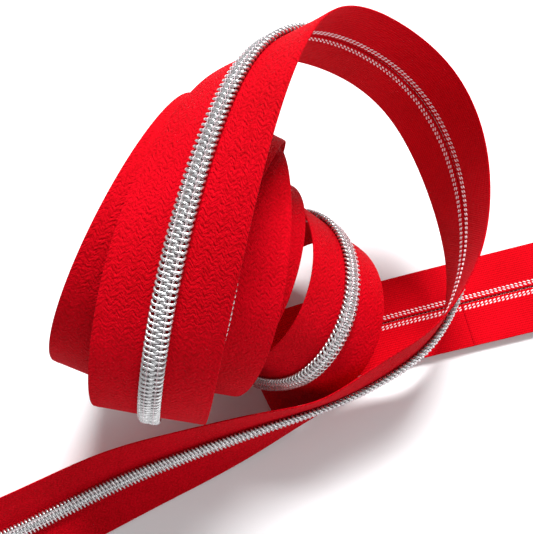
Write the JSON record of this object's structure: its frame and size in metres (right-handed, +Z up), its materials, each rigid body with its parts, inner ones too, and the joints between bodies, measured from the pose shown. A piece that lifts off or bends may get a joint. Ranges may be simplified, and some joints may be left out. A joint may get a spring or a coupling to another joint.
{
  "type": "coil zipper chain",
  "caption": "Length of continuous coil zipper with woven tapes and metallic coils, loosely rolled up, rising in one arch and lying flat at both ends.",
  "frame": {"origin": "on the floor under the middle of the whole length's bounding box", "axes": "+Z up from the floor it lies on, +X towards the flat start of the chain, -X towards the end that opens"},
  "size_m": [0.4544, 0.1316, 0.1134],
  "materials": {
    "tape": "woven, matt",
    "coil": "metallised filament, bright",
    "cord": "braided",
    "thread": "twisted thread"
  },
  "bodies": {
    "root": {"left_tape": "tape", "right_tape": "tape", "left_coil": "coil", "right_coil": "coil", "left_filler_cord": "cord", "right_filler_cord": "cord", "left_inner_thread": "thread", "left_outer_thread": "thread", "right_inner_thread": "thread", "right_outer_thread": "thread"},
    "inner_tail": {"inner_tail_left_tape": "tape", "inner_tail_right_tape": "tape", "inner_tail_left_coil": "coil", "inner_tail_right_coil": "coil", "inner_tail_left_filler_cord": "cord", "inner_tail_right_filler_cord": "cord", "inner_tail_left_inner_thread": "thread", "inner_tail_left_outer_thread": "thread", "inner_tail_right_inner_thread": "thread", "inner_tail_right_outer_thread": "thread"},
    "outer_tail": {"outer_tail_left_tape": "tape", "outer_tail_right_tape": "tape", "outer_tail_left_coil": "coil", "outer_tail_right_coil": "coil", "outer_tail_left_filler_cord": "cord", "outer_tail_right_filler_cord": "cord", "outer_tail_left_inner_thread": "thread", "outer_tail_left_outer_thread": "thread", "outer_tail_right_inner_thread": "thread", "outer_tail_right_outer_thread": "thread"},
    "left_end": {"left_end_tape": "tape", "left_end_coil": "coil", "left_end_filler_cord": "cord", "left_end_inner_thread": "thread", "left_end_outer_thread": "thread"},
    "right_end": {"right_end_tape": "tape", "right_end_coil": "coil", "right_end_filler_cord": "cord", "right_end_inner_thread": "thread", "right_end_outer_thread": "thread"}
  },
  "joints": [
    {"name": "inner_tail_lift", "type": "hinge", "parent": "root", "child": "inner_tail", "pos_m": [0.15606, -0.03003, 0.00255], "axis": [-0.2924, -0.9563, 0], "range_deg": [0, 40]},
    {"name": "outer_tail_lift", "type": "hinge", "parent": "root", "child": "outer_tail", "pos_m": [-0.1514, -0.00682, 0.0003], "axis": [0.0872, 0.9962, 0], "range_deg": [0, 40]},
    {"name": "left_end_swing", "type": "hinge", "parent": "outer_tail", "child": "left_end", "pos_m": [-0.18269, -0.02015, 0.0003], "axis": [0, 0, 1], "range_deg": [0, 12]},
    {"name": "right_end_swing", "type": "hinge", "parent": "outer_tail", "child": "right_end", "pos_m": [-0.1799, 0.01173, 0.0003], "axis": [0, 0, 1], "range_deg": [-12, 0]}
  ],
  "couplings": [
    {"joint": "right_end_swing", "follows": "left_end_swing", "ratio": -1}
  ]
}
